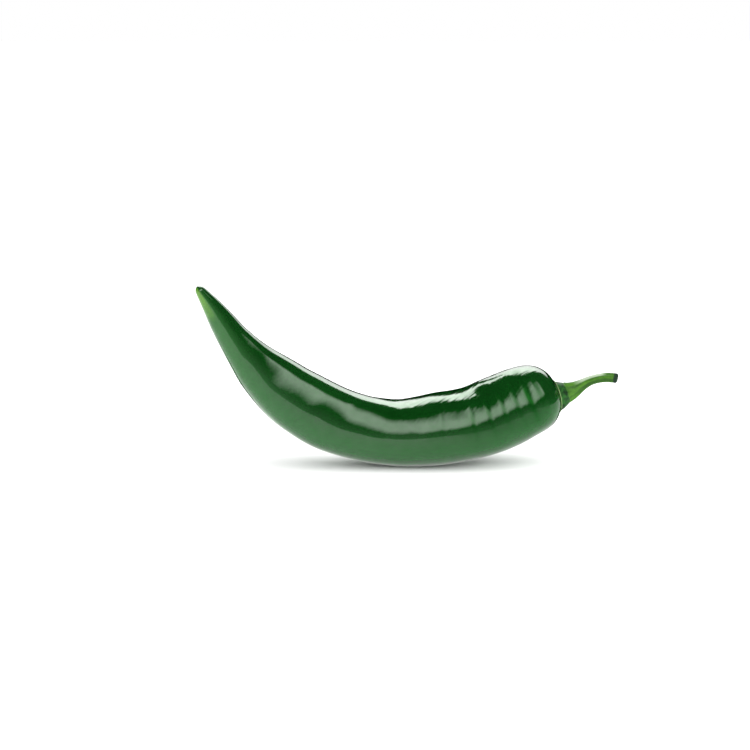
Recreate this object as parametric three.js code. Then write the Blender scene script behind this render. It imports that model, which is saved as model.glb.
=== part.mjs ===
// A long green chilli pepper, as picked, lying on its belly: the curved pod, the calyx that
// clasps its shoulder, and the ribbed stem. Millimetres and degrees.
// X runs from the tip to the stem, Y from the viewer's side to the far side, and Z up.
// The origin is on the resting surface, under the middle of the pepper.
import * as THREE from 'three';

// Pod: its midline starts at the tip and runs to the pole under the stem
const POD_TIP = new THREE.Vector3(-71.11, -4.7, 61.85);
const POD_LENGTH = 145.9;
const TIP_ROUND = 1.7;
const SHOULDER_ROUND = 12.7;
const SHOULDER_FULLNESS = 2.5;

// Stations spaced evenly from the tip to the pole
const POD_PITCH = [-53.5, -58.5, -56, -45.5, -37, -28.5, -15.5, -4, 4.5, 9, 21, 23.5, 17];
const POD_YAW = [13, 11, 8, 4, 0, -2, -1, 1, 2, 4, 7, 9, 10];
const POD_RADIUS = [1.4, 4.25, 6, 8.5, 10.5, 11.2, 10.8, 11, 11.8, 12.2, 12.7, 12.4, 12.1];

// Three soft lobes, as share of the radius, and how far they twist along the pod
const LOBE_DEPTH = [0, 0.01, 0.02, 0.02, 0.02, 0.02, 0.025, 0.03, 0.03, 0.035, 0.045, 0.05, 0.05];
const LOBE_TURN = [50, 42, 34, 25, 16, 8, 2, 0, 0, -3, -10, -17, -20];

// How much wider (above zero) or narrower than tall the pod is, as share of the radius
const OVAL = [0, 0, 0, 0, 0, 0, 0, 0.01, 0.04, 0.05, -0.01, -0.06, -0.06];

// Dents: share of the length, degrees round from the top towards the viewer, half-length
// along the pod, half-width round it, and depth (below zero for a swelling)
const DENTS = [
  { at: 0.15, round: 185, long: 12, wide: 6, depth: 0.3 },
  { at: 0.15, round: 355, long: 7, wide: 6, depth: 0.2 },
  { at: 0.22, round: 88, long: 10, wide: 4, depth: -0.3 },
  { at: 0.28, round: 0, long: 13, wide: 7, depth: -0.4 },
  { at: 0.38, round: 352, long: 13, wide: 8, depth: -0.45 },
  { at: 0.4, round: 230, long: 15, wide: 8, depth: 0.35 },
  { at: 0.47, round: 148, long: 22, wide: 5, depth: -0.45 },
  { at: 0.51, round: 352, long: 11, wide: 8, depth: -0.35 },
  { at: 0.57, round: 285, long: 11, wide: 8, depth: 0.35 },
  { at: 0.61, round: 352, long: 4, wide: 8, depth: 0.2 },
  { at: 0.63, round: 46, long: 8, wide: 4, depth: -0.3 },
  { at: 0.665, round: 178, long: 10, wide: 6, depth: -0.3 },
  { at: 0.69, round: 0, long: 6, wide: 8, depth: -0.5 },
  { at: 0.72, round: 352, long: 5, wide: 8, depth: -0.3 },
  { at: 0.725, round: 80, long: 8, wide: 4, depth: -0.3 },
  { at: 0.745, round: 46, long: 8, wide: 2.6, depth: -0.28 },
  { at: 0.765, round: 175, long: 4.5, wide: 9, depth: 0.25 },
  { at: 0.8, round: 250, long: 9, wide: 9, depth: 0.4 },
  { at: 0.84, round: 352, long: 9, wide: 8, depth: -0.4 },
  { at: 0.855, round: 175, long: 5, wide: 9, depth: -0.4 },
  { at: 0.91, round: 4, long: 4.5, wide: 4.5, depth: -0.35 },
  { at: 0.92, round: 315, long: 3.5, wide: 6, depth: 0.35 },
  { at: 0.93, round: 175, long: 4, wide: 9, depth: 0.35 },
  { at: 0.945, round: 88, long: 4.5, wide: 4, depth: -0.3 },
];

// Calyx: a thin skirt over the shoulder with five short teeth, and a cone up to the stem, whose
// steps give the radius and the height above the pole
const GAP = 0.3;
const CALYX_DROP = 1.7;
const RIM_RADIUS = 5.3;
const SKIRT_THICKNESS = 0.45;
const CONE_RIB_DEPTH = 0.02;
const CALYX_HEIGHT = 2.7;
const CONE = [[4.9, 0.6], [4.7, 0.85], [4.5, 1.2], [4.1, 1.75], [3.8, 2.25], [3.5, CALYX_HEIGHT]];
const TEETH = [
  { round: 20, length: 0.5, width: 22 },
  { round: 88, length: 0.35, width: 18 },
  { round: 160, length: 0.6, width: 22 },
  { round: 228, length: 0.5, width: 20 },
  { round: 300, length: 0.6, width: 20 },
];

// Stem: stations spaced evenly from its foot on the calyx to the cut end
const STEM_LENGTH = 18.4;
const STEM_PITCH = [13, 31, 26, 13, 6, -8];
const STEM_YAW = [10, 8, 2, -6, -12, -16];
const STEM_RADIUS = [3.5, 2.8, 2.1, 1.6, 1.38, 1.38, 1.5, 1.65, 1.72];
const STEM_RIBS = 5;
const STEM_RIB_DEPTH = 0.07;
const CUT_ROUND = 0.9;
const CUT_SHARE = 0.7;

// Fineness of the solids
const POD_STEPS = 76;
const POD_SIDES = 40;
const CALYX_SIDES = 60;
const STEM_STEPS = 24;
const STEM_SIDES = 30;
const MIDLINE_STEPS = 600;
const TINY = 0.05;

const FULL_TURN = 360;
const radians = THREE.MathUtils.degToRad;

// A smooth curve (uniform cubic B-spline) near evenly spaced stations, through both end ones
function along(stations, share) {
  const last = stations.length - 1;
  const place = THREE.MathUtils.clamp(share, 0, 1) * last;
  const first = Math.min(Math.floor(place), last - 1);
  const f = place - first;
  const station = (i) => {
    if (i < 0) return 2 * stations[0] - stations[1];
    if (i > last) return 2 * stations[last] - stations[last - 1];
    return stations[i];
  };
  return (
    (1 - f) ** 3 * station(first - 1)
    + (3 * f ** 3 - 6 * f ** 2 + 4) * station(first)
    + (-3 * f ** 3 + 3 * f ** 2 + 3 * f + 1) * station(first + 1)
    + f ** 3 * station(first + 2)
  ) / 6;
}

// The way the midline heads at a share of its length: its own direction, the direction
// across towards the viewer, and the direction up and square to both
function heading(pitch, yaw, share) {
  const p = radians(along(pitch, share));
  const y = radians(along(yaw, share));
  const forward = new THREE.Vector3(Math.cos(p) * Math.cos(y), Math.cos(p) * Math.sin(y), Math.sin(p));
  const across = new THREE.Vector3(Math.sin(y), -Math.cos(y), 0);
  return { forward, across, up: across.clone().cross(forward) };
}

// A midline that starts at a point and follows its heading
function midline(start, length, pitch, yaw) {
  const points = [start.clone()];
  const step = length / MIDLINE_STEPS;
  for (let i = 0; i < MIDLINE_STEPS; i += 1) {
    const { forward } = heading(pitch, yaw, (i + 0.5) / MIDLINE_STEPS);
    points.push(points[i].clone().addScaledVector(forward, step));
  }
  return (share) => {
    const place = THREE.MathUtils.clamp(share, 0, 1) * MIDLINE_STEPS;
    const i = Math.min(Math.floor(place), MIDLINE_STEPS - 1);
    const centre = points[i].clone().lerp(points[i + 1], place - i);
    return { centre, ...heading(pitch, yaw, share) };
  };
}

// The point at an angle round a station of a midline, at a distance from it
function around(station, angle, radius) {
  return station.centre.clone()
    .addScaledVector(station.up, radius * Math.cos(angle))
    .addScaledVector(station.across, radius * Math.sin(angle));
}

// One closed skin over rings of points, with a fan from a point over each end
function skin(name, rings, startPoint, endPoint, material) {
  const sides = rings[0].length;
  const points = [startPoint, ...rings.flat(), endPoint];
  const end = points.length - 1;
  const corner = (ring, side) => 1 + ring * sides + (side % sides);
  const faces = [];
  for (let side = 0; side < sides; side += 1) {
    faces.push(0, corner(0, side + 1), corner(0, side));
    for (let ring = 0; ring < rings.length - 1; ring += 1) {
      const a = corner(ring, side);
      const b = corner(ring, side + 1);
      const c = corner(ring + 1, side + 1);
      const d = corner(ring + 1, side);
      faces.push(a, b, c, a, c, d);
    }
    faces.push(end, corner(rings.length - 1, side), corner(rings.length - 1, side + 1));
  }
  const geometry = new THREE.BufferGeometry();
  geometry.setAttribute('position', new THREE.Float32BufferAttribute(points.flatMap((p) => p.toArray()), 3));
  geometry.setIndex(faces);
  geometry.computeVertexNormals();
  const mesh = new THREE.Mesh(geometry, material);
  mesh.name = name;
  return mesh;
}

// Angles
const turnBetween = (a, b) => Math.atan2(Math.sin(a - b), Math.cos(a - b));
const anglesRound = (sides) => Array.from({ length: sides }, (_, i) => radians((FULL_TURN * i) / sides));

// Pod
const podMidline = midline(POD_TIP, POD_LENGTH, POD_PITCH, POD_YAW);

// The radius where the tip rounds off and the shoulder closes over the pole
function podRadius(share) {
  const fromTip = share * POD_LENGTH;
  const tip = Math.max(0, 1 - fromTip / TIP_ROUND);
  const shoulder = Math.max(0, 1 - (POD_LENGTH - fromTip) / SHOULDER_ROUND);
  const close = Math.sqrt(1 - tip ** 2) * (1 - shoulder ** SHOULDER_FULLNESS) ** (1 / SHOULDER_FULLNESS);
  return along(POD_RADIUS, share) * close;
}

// How deep the dents are at a place on the pod
function dents(share, angle, radius) {
  return DENTS.reduce((sum, dent) => {
    const lengthways = ((share - dent.at) * POD_LENGTH) / dent.long;
    const turn = turnBetween(angle, radians(dent.round));
    const sideways = (turn * radius) / dent.wide;
    return sum + dent.depth * Math.exp(-(lengthways ** 2) - sideways ** 2);
  }, 0);
}

// A point of the pod's surface, with its lobes, oval section and dents
function podPoint(share, angle) {
  const radius = podRadius(share);
  const lobes = along(LOBE_DEPTH, share) * Math.cos(3 * (angle - radians(along(LOBE_TURN, share))));
  const oval = along(OVAL, share) * Math.sin(angle) ** 2;
  const dented = dents(share, angle, radius) * (radius / along(POD_RADIUS, share));
  const relief = radius * (lobes + oval) - dented;
  return around(podMidline(share), angle, radius + relief);
}

// Steps along the pod lie closer together where it rounds off at both ends
function podShare(step) {
  const t = step / POD_STEPS;
  return t - (0.9 * Math.sin(2 * Math.PI * t)) / (2 * Math.PI);
}

// The belly is pressed flat where it rests
function makePod() {
  const rings = [];
  for (let step = 1; step < POD_STEPS; step += 1) {
    rings.push(anglesRound(POD_SIDES).map((angle) => {
      const point = podPoint(podShare(step), angle);
      point.z = Math.max(point.z, 0);
      return point;
    }));
  }
  const material = new THREE.MeshStandardMaterial({ color: 0x0f5a1c, roughness: 0.16, metalness: 0 });
  return skin('pod', rings, podMidline(0).centre, podMidline(1).centre, material);
}

// Calyx: its axis is the pod's own at the pole, moved down a little
const pole = podMidline(1);

// The calyx's axis at a height above the pole
function calyxStation(height) {
  const centre = pole.centre.clone()
    .addScaledVector(pole.forward, height)
    .addScaledVector(pole.up, -CALYX_DROP);
  return { ...pole, centre };
}

// The radius of the calyx's rim, with its teeth
function rimRadius(angle) {
  return TEETH.reduce((radius, tooth) => {
    const turn = turnBetween(angle, radians(tooth.round));
    const share = THREE.MathUtils.clamp(1 - Math.abs(turn) / radians(tooth.width / 2), 0, 1);
    return radius + tooth.length * share ** 1.5;
  }, RIM_RADIUS);
}

// The share of the pod's length at which its closing shoulder has a radius
function shoulderShare(radius) {
  const open = (1 - (radius / POD_RADIUS.at(-1)) ** SHOULDER_FULLNESS) ** (1 / SHOULDER_FULLNESS);
  return 1 - (SHOULDER_ROUND * (1 - open)) / POD_LENGTH;
}

// The pod's surface at a place on the shoulder, up and across from the pole
function onShoulder(up, across) {
  return podPoint(shoulderShare(Math.hypot(up, across)), Math.atan2(across, up));
}

// A point off the shoulder, given by its radius and angle round the calyx's own axis
function offShoulder(radius, angle, distance) {
  const up = radius * Math.cos(angle) - CALYX_DROP;
  const across = radius * Math.sin(angle);
  const upward = onShoulder(up + TINY, across).sub(onShoulder(up - TINY, across));
  const sideways = onShoulder(up, across + TINY).sub(onShoulder(up, across - TINY));
  return onShoulder(up, across).addScaledVector(upward.cross(sideways).normalize(), distance);
}

function makeCalyx() {
  const angles = anglesRound(CALYX_SIDES);
  const patch = (part, lift) => angles.map(
    (angle) => offShoulder(part * rimRadius(angle), angle, lift),
  );
  const cone = CONE.map(([radius, height]) => angles.map(
    (angle) => around(calyxStation(height), angle, radius * (1 + CONE_RIB_DEPTH * Math.cos(STEM_RIBS * angle))),
  ));
  const rings = [
    patch(0.25, GAP),
    patch(0.5, GAP),
    patch(0.75, GAP),
    patch(1, GAP),
    patch(1.03, GAP + 0.5 * SKIRT_THICKNESS),
    patch(0.98, GAP + SKIRT_THICKNESS),
    ...cone,
  ];
  const material = new THREE.MeshStandardMaterial({ color: 0x2c6a20, roughness: 0.5, metalness: 0 });
  return skin('calyx', rings, offShoulder(0, 0, GAP), calyxStation(CALYX_HEIGHT).centre, material);
}

// Stem
function makeStem() {
  const line = midline(calyxStation(CALYX_HEIGHT + GAP).centre, STEM_LENGTH, STEM_PITCH, STEM_YAW);
  const ring = (share, size) => anglesRound(STEM_SIDES).map((angle) => {
    const rib = 1 + STEM_RIB_DEPTH * Math.cos(STEM_RIBS * angle);
    return around(line(share), angle, along(STEM_RADIUS, share) * rib * size);
  });
  const cutShare = 1 - CUT_ROUND / STEM_LENGTH;
  const rings = [];
  for (let step = 0; step <= STEM_STEPS; step += 1) {
    rings.push(ring((cutShare * step) / STEM_STEPS, 1));
  }
  rings.push(ring((1 + cutShare) / 2, (3 + CUT_SHARE) / 4), ring(1, CUT_SHARE));
  const material = new THREE.MeshStandardMaterial({ color: 0x5f9a2a, roughness: 0.45, metalness: 0 });
  return skin('stem', rings, line(0).centre, line(1).centre, material);
}

const pepper = new THREE.Group();
pepper.add(makePod(), makeCalyx(), makeStem());

export default pepper;
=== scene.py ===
"""A long green chilli pepper, as picked, lying on its belly: the glossy curved pod, the calyx that
clasps its shoulder, and the ribbed stem with its cut end.

Lengths are metres and angles degrees. X runs from the tip to the stem, Y from the viewer's side
to the far side, and Z up. Angles round a piece start at its top and go towards the viewer.
"""

import math

import bpy
import numpy as np
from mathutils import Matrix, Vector


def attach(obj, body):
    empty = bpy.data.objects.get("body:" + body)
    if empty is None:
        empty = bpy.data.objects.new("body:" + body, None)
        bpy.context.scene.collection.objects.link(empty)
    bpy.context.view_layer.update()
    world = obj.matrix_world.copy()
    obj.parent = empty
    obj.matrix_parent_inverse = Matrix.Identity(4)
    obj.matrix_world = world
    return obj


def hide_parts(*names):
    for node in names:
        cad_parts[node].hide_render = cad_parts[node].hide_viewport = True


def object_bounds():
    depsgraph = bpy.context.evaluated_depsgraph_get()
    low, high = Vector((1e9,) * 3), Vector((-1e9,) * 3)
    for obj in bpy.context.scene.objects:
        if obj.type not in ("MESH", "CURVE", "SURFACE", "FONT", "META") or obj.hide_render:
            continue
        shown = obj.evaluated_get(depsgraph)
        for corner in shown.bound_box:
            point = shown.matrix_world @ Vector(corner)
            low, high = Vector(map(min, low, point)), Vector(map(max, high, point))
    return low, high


bl_info = {
    "name": "Green chilli pepper",
    "version": (1, 0, 0),
    "blender": (4, 5, 0),
    "location": "View3D > Sidebar > Chilli",
    "description": "Dresses the solids of a green chilli pepper: pod, calyx, stem and a soft studio",
    "category": "Object",
}

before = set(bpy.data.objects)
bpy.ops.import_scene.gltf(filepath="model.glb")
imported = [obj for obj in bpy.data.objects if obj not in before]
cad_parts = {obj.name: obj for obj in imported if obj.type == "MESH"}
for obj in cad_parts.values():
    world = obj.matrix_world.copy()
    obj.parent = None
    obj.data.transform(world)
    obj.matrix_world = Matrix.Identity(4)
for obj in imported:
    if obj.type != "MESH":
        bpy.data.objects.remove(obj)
CAD_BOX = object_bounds()
MM = 0.001
BODY = "root"

# Shape of the pod: its midline starts at the tip and runs to the pole under the stem
POD_TIP = np.array([-71.11, -4.7, 61.85]) * MM
POD_LENGTH = 145.9 * MM
TIP_ROUND = 1.7 * MM
SHOULDER_ROUND = 12.7 * MM
SHOULDER_FULLNESS = 2.5

# Stations spaced evenly from the tip to the pole
POD_PITCH = [-53.5, -58.5, -56, -45.5, -37, -28.5, -15.5, -4, 4.5, 9, 21, 23.5, 17]
POD_YAW = [13, 11, 8, 4, 0, -2, -1, 1, 2, 4, 7, 9, 10]
POD_RADIUS = np.array([1.4, 4.25, 6, 8.5, 10.5, 11.2, 10.8, 11, 11.8, 12.2, 12.7, 12.4, 12.1]) * MM
LOBES = 3
LOBE_DEPTH = [0, 0.01, 0.02, 0.02, 0.02, 0.02, 0.025, 0.03, 0.03, 0.035, 0.045, 0.05, 0.05]
LOBE_TURN = [50, 42, 34, 25, 16, 8, 2, 0, 0, -3, -10, -17, -20]

# How much wider (above zero) or narrower than tall the pod is, as share of the radius
OVAL = [0, 0, 0, 0, 0, 0, 0, 0.01, 0.04, 0.05, -0.01, -0.06, -0.06]

# Dents: share of the pod's length, degrees round, half-length along, half-width round, and
# depth (below zero for a swelling), the last three in millimetres
DENTS = [
    (0.15, 185, 12, 6, 0.3),
    (0.15, 355, 7, 6, 0.2),
    (0.18, 40, 7, 3.5, -0.4),
    (0.28, 0, 13, 7, -0.4),
    (0.38, 352, 13, 8, -0.45),
    (0.4, 230, 15, 8, 0.35),
    (0.47, 148, 22, 5, -0.45),
    (0.51, 352, 11, 8, -0.35),
    (0.57, 285, 11, 8, 0.35),
    (0.61, 352, 4, 8, 0.2),
    (0.63, 46, 8, 4, -0.3),
    (0.665, 178, 10, 6, -0.3),
    (0.69, 0, 6, 8, -0.5),
    (0.72, 352, 5, 8, -0.3),
    (0.725, 42, 6, 3, -0.2),
    (0.73, 78, 9, 4, -0.3),
    (0.73, 112, 9, 4, -0.2),
    (0.765, 175, 4.5, 9, 0.25),
    (0.8, 250, 9, 9, 0.4),
    (0.775, 42, 4, 3, -0.3),
    (0.82, 24, 3.5, 3.5, 0.4),
    (0.84, 352, 9, 8, -0.4),
    (0.855, 175, 5, 9, -0.4),
    (0.905, 6, 4.5, 4.5, -0.45),
    (0.92, 315, 3.5, 6, 0.35),
    (0.93, 175, 4, 9, 0.35),
    (0.935, 38, 3.5, 4, -0.3),
    (0.945, 84, 4.5, 4.5, -0.45),
]

# Fine creases that cross the pod, in the same terms, and the depth that dulls the gloss in full
CREASES = [
    (0.711, 66, 0.7, 5, 0.03),
    (0.783, 69, 0.8, 6, 0.08),
    (0.823, 64, 0.8, 7, 0.1),
    (0.859, 63, 0.8, 7, 0.1),
    (0.892, 62, 0.8, 7, 0.11),
    (0.922, 65, 1.0, 8, 0.2),
    (0.948, 52, 1.0, 6, 0.12),
]
CREASE_FULL_DEPTH = 0.12 * MM

# Low swells of the skin: wavelength along the pod in millimetres, waves round it, height in
# millimetres, and phase in degrees
SWELLS = [
    (31, 1, 0.05, 40),
    (23, 2, 0.04, 200),
    (17, -1, 0.03, 310),
    (13.5, 3, 0.018, 95),
    (9.7, -2, 0.01, 255),
    (7.3, 1, 0.006, 20),
]

# How much closer the pod's rings stand at its ends than in its middle, from 0 to 1
END_CROWDING = 0.7

# Calyx: a thin skirt over the shoulder, and a cone up to the stem, whose steps give the radius and
# the height above the pole in millimetres
CALYX_DROP = 1.7 * MM
CALYX_HEIGHT = 2.7 * MM
RIM_RADIUS = 5.3 * MM
SKIRT_THICKNESS = 0.45 * MM
CONE = [(4.9, 0.25), (4.7, 0.65), (4.5, 1.1), (4.25, 1.6), (4, 2.1), (3.75, 2.6), (3.5, 3.1)]
CONE_RIB_DEPTH = 0.02

# The skirt from its underside round the edge to its top: shares of the rim's radius, and of the
# skirt's thickness
SKIRT = [
    (0.3, 0), (0.6, 0), (0.85, 0.02), (0.97, 0.06), (1.01, 0.2), (1.02, 0.5), (1, 0.8), (0.97, 0.95),
    (0.93, 1),
]

# Teeth of the rim: degrees round, length in millimetres, width in degrees, and how hollow they are
TEETH = [(20, 0.5, 22), (88, 0.35, 18), (160, 0.6, 22), (228, 0.5, 20), (300, 0.6, 20)]
TOOTH_HOLLOW = 1.5

# Stem: stations spaced evenly from its foot on the calyx to the cut end, whose edge narrows and
# whose face has rings at shares of its radius
STEM_GAP = 0.3 * MM
STEM_LENGTH = 18.7 * MM
STEM_PITCH = [14, 33, 29, 14, 5, -10]
STEM_YAW = [10, 8, 2, -6, -12, -16]
STEM_RADIUS = np.array([3.5, 2.85, 2.2, 1.75, 1.55, 1.5, 1.55, 1.62, 1.65]) * MM
STEM_RIBS = 5
CUT_ROUND = 0.9 * MM
CUT_NARROWING = 0.32
CUT_EDGE_STEPS = 8
CUT_FACE_RINGS = (0.8, 0.5, 0.25)

MIDLINE_STEPS = 600
TINY = 0.05 * MM


def along(stations, share):
    """A smooth curve (uniform cubic B-spline) near evenly spaced stations, through both end ones."""
    stations = np.asarray(stations, float)
    before = 2 * stations[0] - stations[1]
    after = 2 * stations[-1] - stations[-2]
    held = np.concatenate(([before], stations, [after]))
    last = len(stations) - 1
    place = np.clip(share, 0, 1) * last
    first = np.minimum(np.floor(place).astype(int), last - 1)
    f = place - first
    return (
        (1 - f) ** 3 * held[first]
        + (3 * f**3 - 6 * f**2 + 4) * held[first + 1]
        + (-3 * f**3 + 3 * f**2 + 3 * f + 1) * held[first + 2]
        + f**3 * held[first + 3]
    ) / 6


def heading(pitch, yaw, share):
    """The way a midline heads: its own direction, across towards the viewer, and up."""
    p = np.radians(along(pitch, share))
    y = np.radians(along(yaw, share))
    forward = np.stack([np.cos(p) * np.cos(y), np.cos(p) * np.sin(y), np.sin(p)], -1)
    across = np.stack([np.sin(y), -np.cos(y), np.zeros_like(y)], -1)
    return forward, across, np.cross(across, forward)


class Midline:
    """A line that starts at a point and follows its heading."""

    def __init__(self, start, length, pitch, yaw):
        self.pitch = pitch
        self.yaw = yaw
        middles = (np.arange(MIDLINE_STEPS) + 0.5) / MIDLINE_STEPS
        steps = heading(pitch, yaw, middles)[0] * length / MIDLINE_STEPS
        self.points = np.vstack([start, start + np.cumsum(steps, 0)])

    def at(self, share):
        """The centre, forward, across and up directions at shares of the length."""
        share = np.asarray(share, float)
        knots = np.linspace(0, 1, MIDLINE_STEPS + 1)
        centre = np.stack([np.interp(share, knots, self.points[:, k]) for k in range(3)], -1)
        return (centre, *heading(self.pitch, self.yaw, share))


def around(station, angle, radius):
    """The points at angles (radians) round stations of a midline, at distances from it."""
    centre, _, across, up = station
    return centre + up * (radius * np.cos(angle))[..., None] + across * (radius * np.sin(angle))[..., None]


def turn_between(a, b):
    """The signed turn from b to a, in radians."""
    return np.arctan2(np.sin(a - b), np.cos(a - b))


POD_LINE = Midline(POD_TIP, POD_LENGTH, POD_PITCH, POD_YAW)
POLE = POD_LINE.at(1.0)


def pod_radius(share):
    """The radius where the tip rounds off and the shoulder closes over the pole."""
    from_tip = share * POD_LENGTH
    tip = np.maximum(0, 1 - from_tip / TIP_ROUND)
    shoulder = np.clip(1 - (POD_LENGTH - from_tip) / SHOULDER_ROUND, 0, 1)
    close = np.sqrt(1 - tip**2) * (1 - shoulder**SHOULDER_FULLNESS) ** (1 / SHOULDER_FULLNESS)
    return along(POD_RADIUS, share) * close


def marks(table, share, angle, radius):
    """How deep the dents or creases of a table are at places on the pod, in metres."""
    depth = np.zeros(np.broadcast(share, angle).shape)
    for at, degrees_round, long, wide, deep in table:
        lengthways = (share - at) * POD_LENGTH / (long * MM)
        sideways = turn_between(angle, math.radians(degrees_round)) * radius / (wide * MM)
        depth += deep * MM * np.exp(-(lengthways**2) - sideways**2)
    return depth


def swells(share, angle):
    """The low uneven swelling of the skin."""
    height = np.zeros(np.broadcast(share, angle).shape)
    for wavelength, waves, high, phase in SWELLS:
        lengthways = 2 * math.pi * share * POD_LENGTH / (wavelength * MM)
        height += high * MM * np.sin(lengthways + waves * angle + math.radians(phase))
    return height


def pod_point(share, angle, detail):
    """Points of the pod's surface: its lobes and dents, and its fine relief times a detail."""
    radius = pod_radius(share)
    full = along(POD_RADIUS, share)
    lobes = along(LOBE_DEPTH, share) * np.cos(LOBES * (angle - np.radians(along(LOBE_TURN, share))))
    fine = detail * (swells(share, angle) - marks(CREASES, share, angle, radius))
    oval = along(OVAL, share) * np.sin(angle) ** 2
    relief = radius * (lobes + oval) + (fine - marks(DENTS, share, angle, radius)) * (radius / full)
    return around(POD_LINE.at(share), angle, radius + relief)


def calyx_station(height):
    """The calyx's axis at heights above the pole."""
    centre, forward, across, up = POLE
    height = np.asarray(height, float)[..., None]
    return centre + forward * height - up * CALYX_DROP, forward, across, up


def rim_radius(angle):
    """The radius of the calyx's rim, with its teeth."""
    radius = np.full(np.shape(angle), RIM_RADIUS)
    for degrees_round, length, width in TEETH:
        turn = turn_between(angle, math.radians(degrees_round))
        share = np.clip(1 - np.abs(turn) / math.radians(width / 2), 0, 1)
        radius = radius + length * MM * share**TOOTH_HOLLOW
    return radius


def shoulder_share(radius):
    """The share of the pod's length at which its closing shoulder has a radius."""
    opened = (1 - (radius / POD_RADIUS[-1]) ** SHOULDER_FULLNESS) ** (1 / SHOULDER_FULLNESS)
    return 1 - SHOULDER_ROUND * (1 - opened) / POD_LENGTH


def on_shoulder(up, across):
    """The pod's surface at places on the shoulder, up and across from the pole."""
    return pod_point(shoulder_share(np.hypot(up, across)), np.arctan2(across, up), detail=0)


def off_shoulder(radius, angle, distance):
    """Points off the shoulder, given by radius and angle round the calyx's own axis."""
    up = radius * np.cos(angle) - CALYX_DROP
    across = radius * np.sin(angle)
    upward = on_shoulder(up + TINY, across) - on_shoulder(up - TINY, across)
    sideways = on_shoulder(up, across + TINY) - on_shoulder(up, across - TINY)
    out = np.cross(upward, sideways)
    out /= np.linalg.norm(out, axis=-1)[..., None]
    return on_shoulder(up, across) + out * np.asarray(distance)[..., None]


# Meshes
def ring_angles(sides):
    """Evenly spaced angles round a ring, in radians."""
    return np.arange(sides) * 2 * math.pi / sides


def between(rings, share):
    """Rings at shares of the way through a stack of rings, straight from each to the next."""
    place = share * (len(rings) - 1)
    low = np.minimum(place.astype(int), len(rings) - 2)
    part = (place - low)[:, None, None]
    return rings[low] * (1 - part) + rings[low + 1] * part


def closed_skin(name, rings, start_point, end_point):
    """One closed smooth mesh over rings of points, with a fan from a point over each end."""
    steps, sides = rings.shape[:2]
    points = np.vstack([[start_point], rings.reshape(-1, 3), [end_point]])
    corner = 1 + np.arange(steps * sides).reshape(steps, sides)
    beside = np.roll(corner, -1, 1)
    quads = np.stack([corner[:-1], beside[:-1], beside[1:], corner[1:]], -1).reshape(-1, 4)
    first = np.stack([np.zeros(sides, int), beside[0], corner[0]], -1)
    last = np.stack([np.full(sides, len(points) - 1), corner[-1], beside[-1]], -1)
    mesh = bpy.data.meshes.new(name)
    mesh.from_pydata(points.tolist(), [], [*quads.tolist(), *first.tolist(), *last.tolist()])
    mesh.shade_smooth()
    mesh.update()
    piece = bpy.data.objects.new(name, mesh)
    bpy.context.scene.collection.objects.link(piece)
    return piece


def write_places(piece, share, angle, **more):
    """Stores each point's share of the length and its turn round the piece, for the materials."""
    share, angle = np.broadcast_arrays(share, angle)
    columns = {name: np.concatenate(([0], values.ravel(), [0])) for name, values in more.items()}
    columns |= {
        "share": np.concatenate(([share[0, 0]], share.ravel(), [share[-1, 0]])),
        "turn_across": np.concatenate(([0], np.sin(angle).ravel(), [0])),
        "turn_up": np.concatenate(([0], np.cos(angle).ravel(), [0])),
    }
    for name, values in columns.items():
        attribute = piece.data.attributes.new(name, "FLOAT", "POINT")
        attribute.data.foreach_set("value", values.astype(np.float32))


# Shader building
def add_node(tree, kind, **settings):
    """A new node with its settings."""
    made = tree.nodes.new(kind)
    for name, value in settings.items():
        setattr(made, name, value)
    return made


def set_inputs(node, **values):
    """Sets a node's own sockets, named with _ for spaces."""
    for name, value in values.items():
        node.inputs[name.replace("_", " ")].default_value = value


def join(tree, source, target):
    """Links an output socket to an input socket, or sets the input to a plain value."""
    if isinstance(source, bpy.types.NodeSocket):
        tree.links.new(source, target)
    else:
        target.default_value = source


def calculate(tree, operation, a, b=0.0, c=0.0, clamp=False):
    """A Math node's result."""
    made = add_node(tree, "ShaderNodeMath", operation=operation, use_clamp=clamp)
    for value, socket in zip((a, b, c), made.inputs):
        join(tree, value, socket)
    return made.outputs[0]


def product(tree, result, *others):
    """Several values multiplied together."""
    for other in others:
        result = calculate(tree, "MULTIPLY", result, other)
    return result


def smooth_step(tree, value, low, high, out_low=0.0, out_high=1.0):
    """A value carried smoothly from one range to another."""
    made = add_node(tree, "ShaderNodeMapRange", interpolation_type="SMOOTHSTEP")
    sources = {"Value": value, "From Min": low, "From Max": high, "To Min": out_low, "To Max": out_high}
    for name, source in sources.items():
        join(tree, source, made.inputs[name])
    return made.outputs["Result"]


def blend_colour(tree, mask, first, second):
    """The first colour where the mask is 0 and the second where it is 1."""
    made = add_node(tree, "ShaderNodeMix", data_type="RGBA")
    inputs = {socket.identifier: socket for socket in made.inputs}
    join(tree, mask, inputs["Factor_Float"])
    join(tree, first, inputs["A_Color"])
    join(tree, second, inputs["B_Color"])
    return next(socket for socket in made.outputs if socket.identifier == "Result_Color")


def place_on_piece(tree, name):
    """One of the values that write_places stored."""
    return add_node(tree, "ShaderNodeAttribute", attribute_name=name).outputs["Fac"]


def add_noise(tree, vector, scale, detail, roughness=0.5):
    """The noise at places, which are given as a vector."""
    noise = add_node(tree, "ShaderNodeTexNoise")
    set_inputs(noise, Detail=detail, Roughness=roughness)
    join(tree, vector, noise.inputs["Vector"])
    join(tree, scale, noise.inputs["Scale"])
    return noise.outputs["Fac"]


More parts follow.
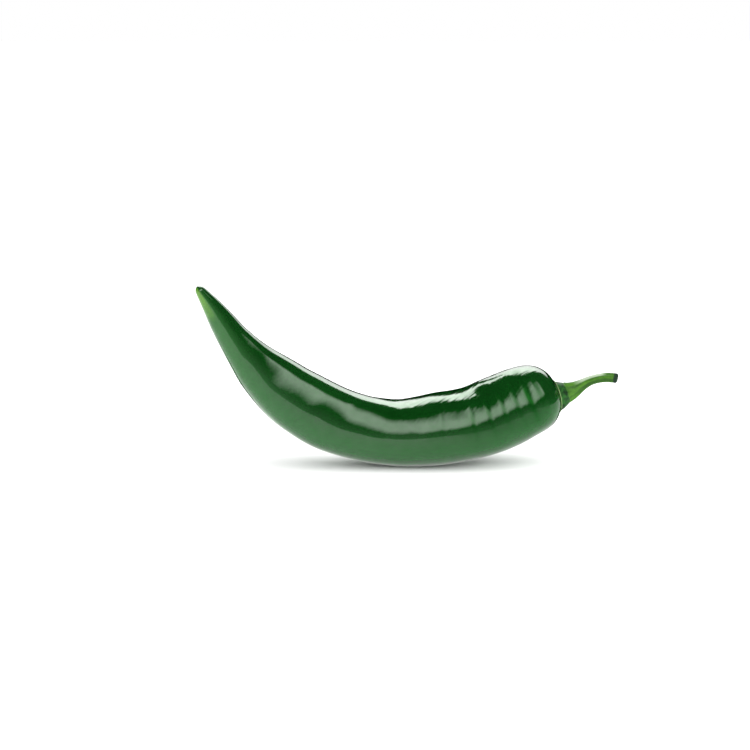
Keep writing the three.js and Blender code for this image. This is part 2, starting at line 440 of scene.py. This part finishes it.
def new_group(name, inputs, output):
    """An empty shader node group with named number inputs and one output."""
    tree = bpy.data.node_groups.new(name, "ShaderNodeTree")
    for label, default in inputs.items():
        socket = tree.interface.new_socket(label, in_out="INPUT", socket_type="NodeSocketFloat")
        socket.default_value = default
    tree.interface.new_socket(output, in_out="OUTPUT", socket_type="NodeSocketFloat")
    start = tree.nodes.new("NodeGroupInput")
    end = tree.nodes.new("NodeGroupOutput")
    return tree, start.outputs, end.inputs[output]


def make_mottle_group():
    """Patches in the flesh under the skin, from soft at contrast 0 to sharp-edged at 1."""
    tree, given, mask = new_group("Mottled flesh", {"Patch Size": 0.004, "Contrast": 0.5}, "Mask")
    places = add_node(tree, "ShaderNodeTexCoord").outputs["Object"]
    scale = calculate(tree, "DIVIDE", 1.0, given["Patch Size"])
    noise = add_noise(tree, places, scale, detail=4.0, roughness=0.55)
    half_width = calculate(tree, "MULTIPLY_ADD", given["Contrast"], -0.45, 0.5)
    low = calculate(tree, "SUBTRACT", 0.5, half_width)
    high = calculate(tree, "ADD", 0.5, half_width)
    join(tree, smooth_step(tree, noise, low, high), mask)
    return tree


def make_streak_group():
    """Streaks that run the length of a piece."""
    inputs = {"Streaks Round": 6.0, "Streak Length": 3.0}
    tree, given, mask = new_group("Lengthwise streaks", inputs, "Mask")
    vector = add_node(tree, "ShaderNodeCombineXYZ")
    spread = {"turn_across": "Streaks Round", "turn_up": "Streaks Round", "share": "Streak Length"}
    for socket, (place, label) in zip(vector.inputs, spread.items()):
        join(tree, product(tree, place_on_piece(tree, place), given[label]), socket)
    noise = add_noise(tree, vector.outputs[0], 1.0, detail=3.0)
    join(tree, smooth_step(tree, noise, 0.3, 0.7), mask)
    return tree


def make_grain_group():
    """The height of a fine grain over the skin."""
    tree, given, height = new_group("Skin grain", {"Grain Size": 0.0006}, "Height")
    places = add_node(tree, "ShaderNodeTexCoord").outputs["Object"]
    scale = calculate(tree, "DIVIDE", 1.0, given["Grain Size"])
    join(tree, add_noise(tree, places, scale, detail=2.0), height)
    return tree


def make_wrinkle_group():
    """The height of fine wrinkles that cross a piece, leaning a little."""
    inputs = {"Wrinkle Count": 110.0, "Lean": 1.0, "Breaks Round": 1.5}
    tree, given, height = new_group("Cross wrinkles", inputs, "Height")
    across = place_on_piece(tree, "turn_across")
    leaning = product(tree, across, given["Lean"])
    share = place_on_piece(tree, "share")
    vector = add_node(tree, "ShaderNodeCombineXYZ")
    parts = (
        calculate(tree, "MULTIPLY_ADD", share, given["Wrinkle Count"], leaning),
        product(tree, across, given["Breaks Round"]),
        product(tree, place_on_piece(tree, "turn_up"), given["Breaks Round"]),
    )
    for part, socket in zip(parts, vector.inputs):
        join(tree, part, socket)
    join(tree, add_noise(tree, vector.outputs[0], 1.0, detail=1.5), height)
    return tree


GROUP_MAKERS = {
    "Mottled flesh": make_mottle_group,
    "Lengthwise streaks": make_streak_group,
    "Skin grain": make_grain_group,
    "Cross wrinkles": make_wrinkle_group,
}


def use_group(tree, name, **values):
    """A node group, made the first time it is asked for and placed in a material with its values."""
    group = bpy.data.node_groups.get(name) or GROUP_MAKERS[name]()
    made = add_node(tree, "ShaderNodeGroup", node_tree=group)
    set_inputs(made, **values)
    return made.outputs[0]


def new_material(name):
    """A material with a Principled BSDF; its node tree and the shader."""
    material = bpy.data.materials.new(name)
    material.use_nodes = True
    tree = material.node_tree
    return material, tree, tree.nodes["Principled BSDF"]


def add_relief(tree, shader, height, depth):
    """Fine relief on top of what a material's normal has already, with a depth in metres."""
    bump = add_node(tree, "ShaderNodeBump")
    set_inputs(bump, Strength=1.0, Distance=depth)
    join(tree, height, bump.inputs["Height"])
    normal = shader.inputs["Normal"]
    if normal.is_linked:
        join(tree, normal.links[0].from_socket, bump.inputs["Normal"])
    join(tree, bump.outputs["Normal"], normal)
    return bump.outputs["Normal"]


# Finishes. A reach gives where a colour starts and where it is full, by share of the length. Sides
# give the same by how far up a side is: 1 on top, 0 halfway and -1 underneath. Two more values
# are the least and the most of it. A wander is how far patches push an edge along.
FLESH_SPECULAR = 0.25
# Painted light: the pod's lower sides are painted paler, as if lit and mirrored by the white floor.
PAINTED_FLOOR_LIGHT_SIDES = (0.35, -0.6)
PAINTED_FLOOR_LIGHT_STRENGTH = 0.75
TIP_REACH = (0.34, 0.02)
TIP_SIDES = (0.6, -0.5)
TIP_STRENGTH = 0.8
BLUSH_REACH = (0.11, 0.045)
BLUSH_SIDES = (0.0, -0.45)
BLUSH_WANDER = 0.03
BLOOM_STRENGTH = 0.22
CREASE_DULLNESS = 0.75
WRINKLES_NEAR_TIP = (0.54, 0.68)
WRINKLES_NEAR_STEM = (0.99, 0.93)
WRINKLES_SIDES = (0.55, 0.9, 0.15, 1.0)

# Painted highlight: a pale line along the thin edge of the calyx's skirt.
LIP_HIGHLIGHT_REACH = (0.3, 0.36)
LIP_HIGHLIGHT_END = (0.5, 0.42)
LIP_HIGHLIGHT_STRENGTH = 0.8
COLLAR_REACH = (0.93, 0.99)
COLLAR_WANDER = 0.05

STEM_SPECULAR = 0.3
PALE_STRENGTH = 0.35
# Painted shade: a darker band low on the stem's sides, past its foot.
SHADE_SIDES = (0.2, -0.3)
SHADE_UNDERSIDE = (-0.95, -0.5)
SHADE_REACH = (0.1, 0.25, 0.0, 0.7)
# Painted highlight: a whitish line along the top of the stem.
PAINTED_HIGHLIGHT_REACH = (0.15, 0.4, 0.0, 0.85)
PAINTED_HIGHLIGHT_END = (0.82, 0.68)
PAINTED_HIGHLIGHT_SIDES = (0.55, 0.9)
CUT_REACH = (0.935, 0.955)
CUT_WANDER = 0.025


def pod_material(settings):
    """Glossy dark green skin, with painted light from the floor that makes it paler below, yellower towards
    the tip, wrinkled near the stem.
    """
    material, tree, shader = new_material("Pod skin")
    share = place_on_piece(tree, "share")
    up = place_on_piece(tree, "turn_up")
    mottle = use_group(tree, "Mottled flesh", Patch_Size=0.006, Contrast=0.4)
    streaks = use_group(tree, "Lengthwise streaks", Streaks_Round=2.5, Streak_Length=7.0)
    uneven = product(tree, calculate(tree, "ADD", mottle, streaks), 0.5)
    body = blend_colour(tree, uneven, settings.dark_colour, settings.colour)
    # Painted light from the floor: the lower sides paler.
    belly = product(tree, smooth_step(tree, up, *PAINTED_FLOOR_LIGHT_SIDES), PAINTED_FLOOR_LIGHT_STRENGTH)
    body = blend_colour(tree, belly, body, settings.painted_floor_light_colour)
    tip = product(
        tree, smooth_step(tree, share, *TIP_REACH), smooth_step(tree, up, *TIP_SIDES), TIP_STRENGTH
    )
    body = blend_colour(tree, tip, body, settings.tip_colour)
    blush_place = calculate(tree, "MULTIPLY_ADD", mottle, BLUSH_WANDER, share)
    blush = product(
        tree, smooth_step(tree, blush_place, *BLUSH_REACH), smooth_step(tree, up, *BLUSH_SIDES)
    )
    body = blend_colour(tree, blush, body, settings.blush_colour)
    join(tree, body, shader.inputs["Base Color"])
    bloom = use_group(tree, "Mottled flesh", Patch_Size=0.0028, Contrast=0.5)
    gloss = calculate(tree, "MULTIPLY_ADD", bloom, BLOOM_STRENGTH, 1 - BLOOM_STRENGTH)
    creased = place_on_piece(tree, "creased")
    whole = calculate(tree, "MULTIPLY_ADD", creased, -CREASE_DULLNESS, 1.0, clamp=True)
    join(tree, product(tree, gloss, whole), shader.inputs["Coat Weight"])
    add_relief(tree, shader, use_group(tree, "Skin grain", Grain_Size=0.0011), settings.grain_depth)
    wrinkles = product(
        tree, use_group(tree, "Cross wrinkles", Wrinkle_Count=85.0, Lean=14.0, Breaks_Round=1.5),
        smooth_step(tree, share, *WRINKLES_NEAR_TIP), smooth_step(tree, share, *WRINKLES_NEAR_STEM),
        smooth_step(tree, up, *WRINKLES_SIDES),
    )
    wrinkled = add_relief(tree, shader, wrinkles, settings.wrinkle_depth)
    join(tree, wrinkled, shader.inputs["Coat Normal"])
    set_inputs(
        shader, Roughness=settings.roughness, Specular_IOR_Level=FLESH_SPECULAR,
        Specular_Tint=settings.sheen_colour, Coat_Roughness=settings.gloss_roughness,
    )
    return material


def calyx_material(settings):
    """Dark mottled green, with a painted highlight along the thin rim."""
    material, tree, shader = new_material("Calyx skin")
    share = place_on_piece(tree, "share")
    mottle = use_group(tree, "Mottled flesh", Patch_Size=0.0012, Contrast=0.7)
    body = blend_colour(tree, mottle, settings.dark_colour, settings.colour)
    # Painted highlight along the skirt's thin edge.
    rim = product(
        tree, smooth_step(tree, share, *LIP_HIGHLIGHT_REACH), smooth_step(tree, share, *LIP_HIGHLIGHT_END), LIP_HIGHLIGHT_STRENGTH
    )
    body = blend_colour(tree, rim, body, settings.lip_highlight_colour)
    collar_place = calculate(tree, "MULTIPLY_ADD", mottle, COLLAR_WANDER, share)
    body = blend_colour(tree, smooth_step(tree, collar_place, *COLLAR_REACH), body, settings.collar_colour)
    join(tree, body, shader.inputs["Base Color"])
    add_relief(tree, shader, use_group(tree, "Skin grain", Grain_Size=0.0007), settings.grain_depth)
    set_inputs(shader, Roughness=settings.roughness, Specular_IOR_Level=FLESH_SPECULAR)
    return material


def stem_material(settings):
    """Bright yellow-green with darker fibres, a painted whitish highlight along the top, painted shade low on
    the sides and a dull cut end.
    """
    material, tree, shader = new_material("Stem skin")
    share = place_on_piece(tree, "share")
    up = place_on_piece(tree, "turn_up")
    mottle = use_group(tree, "Mottled flesh", Patch_Size=0.0012, Contrast=0.6)
    streaks = use_group(tree, "Lengthwise streaks", Streaks_Round=3.5, Streak_Length=3.0)
    body = blend_colour(tree, streaks, settings.dark_colour, settings.colour)
    body = blend_colour(tree, product(tree, mottle, PALE_STRENGTH), body, settings.pale_colour)
    # Painted shade: the stem darker low on its sides, in the fibres' colour.
    shade = product(
        tree, smooth_step(tree, up, *SHADE_SIDES), smooth_step(tree, up, *SHADE_UNDERSIDE),
        smooth_step(tree, share, *SHADE_REACH),
    )
    body = blend_colour(tree, shade, body, settings.dark_colour)
    # Painted highlight along the top of the stem.
    painted_highlight = product(
        tree, smooth_step(tree, share, *PAINTED_HIGHLIGHT_REACH), smooth_step(tree, share, *PAINTED_HIGHLIGHT_END),
        smooth_step(tree, up, *PAINTED_HIGHLIGHT_SIDES),
    )
    body = blend_colour(tree, painted_highlight, body, settings.painted_highlight_colour)
    cut_place = calculate(tree, "MULTIPLY_ADD", mottle, CUT_WANDER, share)
    body = blend_colour(tree, smooth_step(tree, cut_place, *CUT_REACH), body, settings.cut_colour)
    join(tree, body, shader.inputs["Base Color"])
    add_relief(tree, shader, use_group(tree, "Skin grain", Grain_Size=0.0006), settings.grain_depth)
    set_inputs(shader, Roughness=settings.roughness, Specular_IOR_Level=STEM_SPECULAR)
    return material


# Settings
def colour_setting(name, description, default):
    """A colour property, linear red, green, blue and alpha."""
    return bpy.props.FloatVectorProperty(
        name=name, description=description, default=(*default, 1.0), size=4, subtype="COLOR", min=0, max=1
    )


def length_setting(name, description, default):
    """A length property in metres."""
    return bpy.props.FloatProperty(
        name=name, description=description, default=default, precision=5, unit="LENGTH", subtype="DISTANCE"
    )


def count_setting(name, description, default, low):
    """A whole number from a lowest value."""
    return bpy.props.IntProperty(name=name, description=description, default=default, min=low)


def share_setting(name, description, default, high=1.0):
    """A property from 0 to a highest value."""
    return bpy.props.FloatProperty(
        name=name, description=description, default=default, min=0, max=high, subtype="FACTOR"
    )


class PodSettings(bpy.types.PropertyGroup):
    """Finish and fineness of the pod"""

    steps: count_setting("Steps", "Rings of points along the pod", 520, 40)
    sides: count_setting("Sides", "Points round each ring", 160, 24)
    relief: share_setting("Relief", "How strong the swells and creases of the skin are", 1.0, 3.0)
    soft_edge: length_setting("Soft Edge", "How gently the flat of the belly starts", 0.00012)
    colour: colour_setting("Colour", "Skin", (0.0025, 0.036, 0.0042))
    dark_colour: colour_setting("Dark Colour", "Darker patches of the skin", (0.0014, 0.026, 0.0026))
    # Painted light from the floor, paler skin on the lower sides
    painted_floor_light_colour: colour_setting("Belly Colour", "Skin low on the sides", (0.0085, 0.092, 0.014))
    tip_colour: colour_setting("Tip Colour", "Skin near the tip", (0.017, 0.096, 0.016))
    blush_colour: colour_setting("Blush Colour", "Yellow-green patch on the tip", (0.09, 0.22, 0.022))
    grain_depth: length_setting("Grain Depth", "Depth of the fine grain", 0.000012)
    wrinkle_depth: length_setting("Wrinkle Depth", "Depth of the fine wrinkles near the stem", 0.0001)
    sheen_colour: colour_setting("Sheen Colour", "Soft glow of the flesh round highlights", (0.15, 1.0, 0.15))
    roughness: share_setting("Roughness", "Roughness of the flesh under the gloss", 0.22)
    gloss_roughness: share_setting("Gloss Roughness", "Roughness of the waxy gloss", 0.045)


class CalyxSettings(bpy.types.PropertyGroup):
    """Finish and fineness of the calyx"""

    steps: count_setting("Steps", "Rings of points from under the rim to the stem", 60, 20)
    sides: count_setting("Sides", "Points round each ring", 240, 60)
    colour: colour_setting("Colour", "Skin", (0.014, 0.12, 0.009))
    dark_colour: colour_setting("Dark Colour", "Darker patches", (0.0015, 0.026, 0.003))
    # Painted highlight along the skirt's thin edge
    lip_highlight_colour: colour_setting("Rim Colour", "The thin edge of the skirt", (0.24, 0.36, 0.14))
    collar_colour: colour_setting("Collar Colour", "Where the calyx meets the stem", (0.04, 0.14, 0.01))
    roughness: share_setting("Roughness", "Roughness of the skin", 0.42)
    grain_depth: length_setting("Grain Depth", "Depth of the fine grain", 0.00005)


class StemSettings(bpy.types.PropertyGroup):
    """Finish and fineness of the stem"""

    steps: count_setting("Steps", "Rings of points along the stem", 150, 20)
    sides: count_setting("Sides", "Points round each ring", 90, 15)
    rib_depth: share_setting("Rib Depth", "Depth of the ribs, as a share of the radius", 0.07)
    colour: colour_setting("Colour", "Skin", (0.05, 0.175, 0.005))
    dark_colour: colour_setting("Dark Colour", "Fibres between the ribs", (0.017, 0.085, 0.004))
    pale_colour: colour_setting("Pale Colour", "Paler patches", (0.09, 0.25, 0.016))
    # Painted highlight, a whitish line along the top of the stem
    painted_highlight_colour: colour_setting("Dry Colour", "Whitish line along the top", (0.45, 0.54, 0.40))
    cut_colour: colour_setting("Cut Colour", "The drying cut end", (0.006, 0.032, 0.011))
    roughness: share_setting("Roughness", "Roughness of the skin", 0.45)
    grain_depth: length_setting("Grain Depth", "Depth of the fine grain", 0.00004)


class StageSettings(bpy.types.PropertyGroup):
    """Camera, floor and lamps"""

    camera_elevation: bpy.props.FloatProperty(
        name="Camera Elevation", description="Angle above the floor", subtype="ANGLE",
        default=math.radians(12),
    )
    camera_distance: length_setting("Camera Distance", "From the eye to the point it looks at", 0.6021)
    look_right: length_setting("Look Right", "The point looked at, right of the pepper's middle", -0.01164)
    look_up: length_setting("Look Up", "The point looked at, up from the pepper's middle", -0.00035)
    lens: bpy.props.FloatProperty(
        name="Lens", description="Focal length in millimetres", default=85, unit="CAMERA"
    )
    floor_colour: colour_setting("Floor Colour", "Plain pale floor", (0.92, 0.92, 0.92))
    # Painted reflection: the floor as gloss shows it, darker on the stem's side
    mirrored_floor_colour: colour_setting("Mirrored Floor", "The floor as seen in gloss", (0.64, 0.66, 0.64))
    mirrored_stem_side_colour: colour_setting("Mirrored Stem Side", "The same by the stem", (0.3, 0.31, 0.3))
    ambient: share_setting("Ambient", "Soft light from all round on matt surfaces", 1.5, 5.0)
    horizon_glow: share_setting("Horizon Glow", "Glow low on the viewer's side, in gloss", 0.38, 5.0)


# Pieces
def dress(piece, node, material):
    """Gives a finished piece its material and its place on the frame."""
    piece.data.materials.append(material)
    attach(piece, BODY)
    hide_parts(node)


class CHILLI_OT_pod(bpy.types.Operator):
    """Make the pod: one closed skin with lobes, dents, creases and a flat to rest on"""

    bl_idname = "chilli.pod"
    bl_label = "Pod"

    def execute(self, context):
        settings = context.scene.chilli_pod
        t = np.arange(1, settings.steps) / settings.steps
        share = t - END_CROWDING * np.sin(2 * math.pi * t) / (2 * math.pi)
        share, angle = np.meshgrid(share, ring_angles(settings.sides), indexing="ij")
        rings = pod_point(share, angle, settings.relief)
        rings[..., 2] = (rings[..., 2] + np.hypot(rings[..., 2], settings.soft_edge)) / 2
        pod = closed_skin("Pod", rings, POD_LINE.at(0.0)[0], POD_LINE.at(1.0)[0])
        creased = marks(CREASES, share, angle, pod_radius(share)) / CREASE_FULL_DEPTH
        write_places(pod, share, angle, creased=creased)
        dress(pod, "pod", pod_material(settings))
        return {"FINISHED"}


class CHILLI_OT_calyx(bpy.types.Operator):
    """Make the calyx: a thin toothed skirt on the shoulder, and its cone up to the stem"""

    bl_idname = "chilli.calyx"
    bl_label = "Calyx"

    def execute(self, context):
        settings = context.scene.chilli_calyx
        angle = ring_angles(settings.sides)
        rim = rim_radius(angle)
        skirt = [off_shoulder(part * rim, angle, lift * SKIRT_THICKNESS) for part, lift in SKIRT]
        rib = 1 + CONE_RIB_DEPTH * np.cos(STEM_RIBS * angle)
        cone = [around(calyx_station(height * MM), angle, radius * MM * rib) for radius, height in CONE]
        profile = np.array([*skirt, (skirt[-1] + cone[0]) / 2, *cone])
        share = np.linspace(0, 1, settings.steps)
        start = off_shoulder(0.0, 0.0, 0.0)
        end = calyx_station(CONE[-1][1] * MM)[0]
        calyx = closed_skin("Calyx", between(profile, share), start, end)
        write_places(calyx, share[:, None], angle[None, :])
        dress(calyx, "calyx", calyx_material(settings))
        return {"FINISHED"}


class CHILLI_OT_stem(bpy.types.Operator):
    """Make the stem: ribbed, flared at its foot, with a rounded cut end"""

    bl_idname = "chilli.stem"
    bl_label = "Stem"

    def execute(self, context):
        settings = context.scene.chilli_stem
        foot = calyx_station(CALYX_HEIGHT + STEM_GAP)[0]
        line = Midline(foot, STEM_LENGTH, STEM_PITCH, STEM_YAW)
        cut_share = 1 - CUT_ROUND / STEM_LENGTH
        length = np.linspace(0, cut_share, settings.steps)
        edge = np.linspace(cut_share, 1, CUT_EDGE_STEPS)[1:]
        share = np.concatenate([length, edge, np.ones(len(CUT_FACE_RINGS))])
        past = np.clip((share - cut_share) / (1 - cut_share), 0, 1)
        size = 1 - CUT_NARROWING * (1 - np.sqrt(1 - past**2))
        size[-len(CUT_FACE_RINGS):] *= CUT_FACE_RINGS
        size, angle = np.meshgrid(size, ring_angles(settings.sides), indexing="ij")
        rib = 1 + settings.rib_depth * np.cos(STEM_RIBS * angle)
        station = [part[:, None] for part in line.at(share)]
        share = share[:, None]
        rings = around(station, angle, along(STEM_RADIUS, share) * rib * size)
        stem = closed_skin("Stem", rings, line.at(0.0)[0], line.at(1.0)[0])
        write_places(stem, share, angle)
        dress(stem, "stem", stem_material(settings))
        return {"FINISHED"}


# Stage
FLOOR_HALF = 6.0
MATT = 0.9
# Painted reflection: the floor glows, though only in gloss.
MIRRORED_FLOOR_GLOW = 0.9
MIRRORED_FLOOR_TURN = (-0.03, 0.07)

# Softboxes: angles in degrees, with azimuth 0 on the far side and 90 on the stem's side; sizes and
# fading edge in metres; the glow overhead, and the share of it that is lost towards the horizon
SOFTBOX_DISTANCE = 1.0
SOFTBOX_HORIZON_FADE = (0.17, 0.23)
SOFTBOX_OUTER_FADE = 0.2
SOFTBOXES = {
    "Back softbox": {
        "azimuth": 2.8, "elevation": 40.7, "roll": -45, "width": 1.27, "height": 0.88,
        "fade": 0.03, "glow": 12.4, "loss": 0.96,
    },
    "Front softbox": {
        "azimuth": 167, "elevation": 45.4, "roll": -37.3, "width": 1.42, "height": 0.56,
        "fade": 0.2, "glow": 4.6, "loss": 0,
    },
}

# A dark card behind the pepper that shows only in gloss, a painted dark reflection above the pod's top
# highlight: its corners across and up, and how far back it stands, in millimetres
DARK_CARD = [
    (-120, 0), (75, 0), (75, 42), (46, 40), (44, 20), (17, 20), (17, 80), (2, 60), (-9, 34), (-21, 39),
    (-35, 50), (-40, 20), (-120, 10),
]
DARK_CARD_BEHIND = 30.8

# The glow in gloss: on the viewer's side, low down, and more of it on the tip's side
GLOW_NEAR = (0.0, -0.6)
GLOW_LOW = (0.6, 0.03)
GLOW_LEAN = (0.1, -0.4, 0.8, 1.6)

# Even light on matt surfaces: its lean to the stem's side, the share that is lost to the near and
# far side, and what the two ends gain
AMBIENT_LEAN = 0.6
AMBIENT_FACING_LOSS = 0.95
AMBIENT_ENDS_GAIN = 1.8

SENSOR_WIDTH = 36
BLACK = (0, 0, 0, 1)
WHITE = (1, 1, 1, 1)


def first_gloss(tree):
    """1 for what the gloss mirrors straight to the eye, and 0 for light on its way to a matt surface."""
    path = add_node(tree, "ShaderNodeLightPath")
    straight = calculate(tree, "LESS_THAN", path.outputs["Diffuse Depth"], 0.5)
    return product(tree, path.outputs["Is Glossy Ray"], straight)


def split_vector(tree, vector):
    """The three parts of a vector."""
    parts = add_node(tree, "ShaderNodeSeparateXYZ")
    join(tree, vector, parts.inputs[0])
    return parts.outputs["X"], parts.outputs["Y"], parts.outputs["Z"]


def make_floor(settings):
    """A wide pale floor under the pepper. Gloss mirrors it as a painted reflection in a darker colour of its
    own that also glows, darker still on the stem's side.
    """
    mesh = bpy.data.meshes.new("Floor")
    corners = [(x * FLOOR_HALF, y * FLOOR_HALF, 0) for x, y in ((-1, -1), (1, -1), (1, 1), (-1, 1))]
    mesh.from_pydata(corners, [], [range(len(corners))])
    floor = bpy.data.objects.new("Floor", mesh)
    bpy.context.scene.collection.objects.link(floor)
    material, tree, shader = new_material("Floor paper")
    seen_in_gloss = first_gloss(tree)
    across = split_vector(tree, add_node(tree, "ShaderNodeNewGeometry").outputs["Position"])[0]
    stem_side = smooth_step(tree, across, *MIRRORED_FLOOR_TURN)
    mirrored = blend_colour(
        tree, stem_side, settings.mirrored_floor_colour, settings.mirrored_stem_side_colour
    )
    colour = blend_colour(tree, seen_in_gloss, settings.floor_colour, mirrored)
    join(tree, colour, shader.inputs["Base Color"])
    join(tree, blend_colour(tree, seen_in_gloss, BLACK, mirrored), shader.inputs["Emission Color"])
    set_inputs(shader, Emission_Strength=MIRRORED_FLOOR_GLOW, Roughness=MATT, Specular_IOR_Level=0.0)
    mesh.materials.append(material)


def make_sheet(name, corners, **sides):
    """A flat sheet of the stage that shows only in gloss, with values at its corners."""
    mesh = bpy.data.meshes.new(name)
    mesh.from_pydata([list(corner) for corner in corners], [], [range(len(corners))])
    for label, values in sides.items():
        mesh.attributes.new(label, "FLOAT", "POINT").data.foreach_set("value", values)
    sheet = bpy.data.objects.new(name, mesh)
    sheet.visible_camera = False
    sheet.visible_diffuse = False
    sheet.visible_transmission = False
    sheet.visible_shadow = False
    bpy.context.scene.collection.objects.link(sheet)
    material, tree, shader = new_material(name)
    set_inputs(shader, Base_Color=BLACK, Specular_IOR_Level=0.0)
    mesh.materials.append(material)
    return tree, shader


def make_softbox(name, aim, azimuth, elevation, roll, width, height, fade, glow, loss):
    """A large glowing sheet with fading edges that faces the pepper."""
    a, e, q = math.radians(azimuth), math.radians(elevation), math.radians(roll)
    away = Vector((math.sin(a) * math.cos(e), math.cos(a) * math.cos(e), math.sin(e)))
    level = away.cross(Vector((0, 0, 1))).normalized()
    upright = level.cross(away)
    wide = (level * math.cos(q) + upright * math.sin(q)) * width / 2
    tall = (upright * math.cos(q) - level * math.sin(q)) * height / 2
    middle = aim + away * SOFTBOX_DISTANCE
    corners = [middle - wide - tall, middle + wide - tall, middle + wide + tall, middle - wide + tall]
    sides = {
        "sideways": [-width / 2, width / 2, width / 2, -width / 2],
        "upward": [-height / 2, -height / 2, height / 2, height / 2],
    }
    tree, shader = make_sheet(name, corners, **sides)
    margins = [
        calculate(tree, "SUBTRACT", max(places), calculate(tree, "ABSOLUTE", place_on_piece(tree, label)))
        for label, places in sides.items()
    ]
    inside = smooth_step(tree, calculate(tree, "MINIMUM", *margins), -SOFTBOX_OUTER_FADE * fade, fade)
    way = add_node(tree, "ShaderNodeVectorMath", operation="NORMALIZE")
    join(tree, add_node(tree, "ShaderNodeNewGeometry").outputs["Position"], way.inputs[0])
    rise = split_vector(tree, way.outputs[0])[2]
    overhead = calculate(tree, "MULTIPLY_ADD", product(tree, rise, rise), loss, 1 - loss)
    above = smooth_step(tree, rise, *SOFTBOX_HORIZON_FADE)
    brightness = add_node(tree, "ShaderNodeCombineColor")
    strength = product(tree, inside, overhead, above, first_gloss(tree))
    for socket in brightness.inputs:
        join(tree, strength, socket)
    join(tree, brightness.outputs["Color"], shader.inputs["Emission Color"])
    set_inputs(shader, Emission_Strength=glow)


def make_camera(settings, middle):
    """The photograph's viewing angle."""
    e = settings.camera_elevation
    forward = Vector((0, math.cos(e), -math.sin(e)))
    right = Vector((1, 0, 0))
    up = right.cross(forward)
    target = middle + right * settings.look_right + up * settings.look_up
    data = bpy.data.cameras.new("Camera")
    data.lens = settings.lens
    data.sensor_width = SENSOR_WIDTH
    camera = bpy.data.objects.new("Camera", data)
    camera.location = target - forward * settings.camera_distance
    camera.rotation_mode = "QUATERNION"
    camera.rotation_quaternion = forward.to_track_quat("-Z", "Y")
    bpy.context.scene.collection.objects.link(camera)
    bpy.context.scene.camera = camera


def make_world(settings):
    """White behind the floor; even light on matt surfaces; in gloss, a low glow on the near side."""
    world = bpy.data.worlds.new("Studio")
    world.use_nodes = True
    tree = world.node_tree
    path = add_node(tree, "ShaderNodeLightPath")
    x, y, z = split_vector(tree, add_node(tree, "ShaderNodeTexCoord").outputs["Generated"])
    low_glow = product(
        tree, smooth_step(tree, y, *GLOW_NEAR), smooth_step(tree, z, *GLOW_LOW),
        smooth_step(tree, x, *GLOW_LEAN), settings.horizon_glow,
    )
    even = calculate(tree, "MULTIPLY_ADD", x, AMBIENT_LEAN, 1.0)
    even = calculate(tree, "MULTIPLY_ADD", product(tree, y, y), -AMBIENT_FACING_LOSS, even)
    even = calculate(tree, "MULTIPLY_ADD", product(tree, x, x), AMBIENT_ENDS_GAIN, even)
    in_gloss = product(tree, first_gloss(tree), low_glow)
    on_matt = product(tree, path.outputs["Is Diffuse Ray"], even, settings.ambient)
    seen = path.outputs["Is Camera Ray"]
    strength = calculate(tree, "ADD", seen, calculate(tree, "ADD", on_matt, in_gloss))
    background = tree.nodes["Background"]
    join(tree, strength, background.inputs["Strength"])
    set_inputs(background, Color=WHITE)
    bpy.context.scene.world = world


class CHILLI_OT_stage(bpy.types.Operator):
    """Make the stage: floor, soft studio lamps and camera"""

    bl_idname = "chilli.stage"
    bl_label = "Stage"

    def execute(self, context):
        settings = context.scene.chilli_stage
        middle = (CAD_BOX[0] + CAD_BOX[1]) / 2
        make_floor(settings)
        for name, box in SOFTBOXES.items():
            make_softbox(name, middle, **box)
        # Painted reflection: a dark sheet that shows only in gloss.
        make_sheet("Dark card", [Vector((x, DARK_CARD_BEHIND, z)) * MM for x, z in DARK_CARD])
        make_world(settings)
        make_camera(settings, middle)
        context.scene.view_settings.view_transform = "Standard"
        return {"FINISHED"}


class CHILLI_PT_pieces(bpy.types.Panel):
    """Lists the pieces of the pepper and its stage"""

    bl_label = "Chilli"
    bl_idname = "CHILLI_PT_pieces"
    bl_space_type = "VIEW_3D"
    bl_region_type = "UI"
    bl_category = "Chilli"

    def draw(self, context):
        for name, _, operator in PARTS:
            box = self.layout.box()
            box.operator(operator.bl_idname)
            settings = getattr(context.scene, name)
            for key in settings.bl_rna.properties.keys():
                if key not in ("rna_type", "name"):
                    box.prop(settings, key)


PARTS = (
    ("chilli_pod", PodSettings, CHILLI_OT_pod),
    ("chilli_calyx", CalyxSettings, CHILLI_OT_calyx),
    ("chilli_stem", StemSettings, CHILLI_OT_stem),
    ("chilli_stage", StageSettings, CHILLI_OT_stage),
)
CLASSES = [*(kind for _, *pair in PARTS for kind in pair), CHILLI_PT_pieces]


def register():
    """Adds the settings, operators and panel."""
    for cls in CLASSES:
        bpy.utils.register_class(cls)
    for name, settings, _ in PARTS:
        setattr(bpy.types.Scene, name, bpy.props.PointerProperty(type=settings))


def unregister():
    """Takes them away."""
    for name, _, _ in PARTS:
        delattr(bpy.types.Scene, name)
    for cls in reversed(CLASSES):
        bpy.utils.unregister_class(cls)


def main():
    """Makes the whole scene."""
    register()
    bpy.ops.chilli.pod()
    bpy.ops.chilli.calyx()
    bpy.ops.chilli.stem()
    bpy.ops.chilli.stage()


if __name__ == "__main__":
    main()
